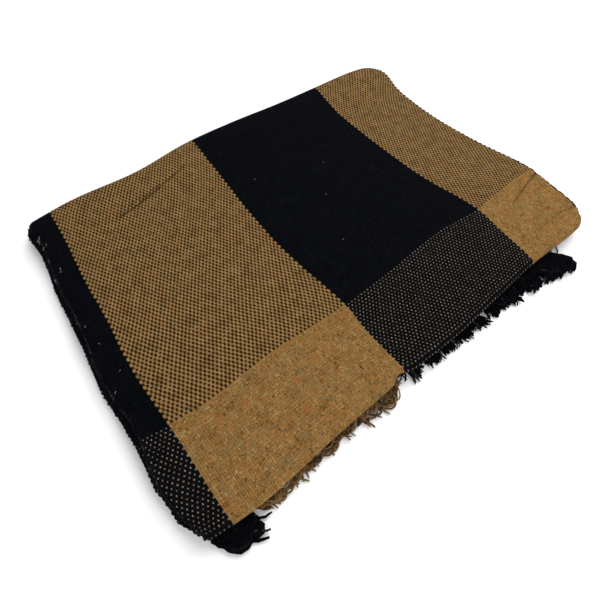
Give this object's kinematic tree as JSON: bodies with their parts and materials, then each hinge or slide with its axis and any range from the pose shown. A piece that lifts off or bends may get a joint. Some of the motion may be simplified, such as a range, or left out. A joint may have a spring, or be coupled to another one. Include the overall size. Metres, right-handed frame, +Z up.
{
  "type": "folded fringed blanket",
  "caption": "Woven check blanket with short fringed ends, folded into a flat, slightly uneven bundle.",
  "frame": {"origin": "middle of the bundle's box, on the face that it rests on", "axes": "+X along the near fold, selvedges on the left and the folded edge on the right, +Y from the near fold to the far folds, +Z up"},
  "size_m": [0.6792, 0.508, 0.0284],
  "materials": {
    "cloth": "thick plain-woven cotton, large black and tan check",
    "fringe": "loose cotton warp ends in short tassels"
  },
  "bodies": {
    "root": {"blanket_cloth": "cloth", "fringe_upper": "fringe", "fringe_lower": "fringe"}
  },
  "joints": []
}
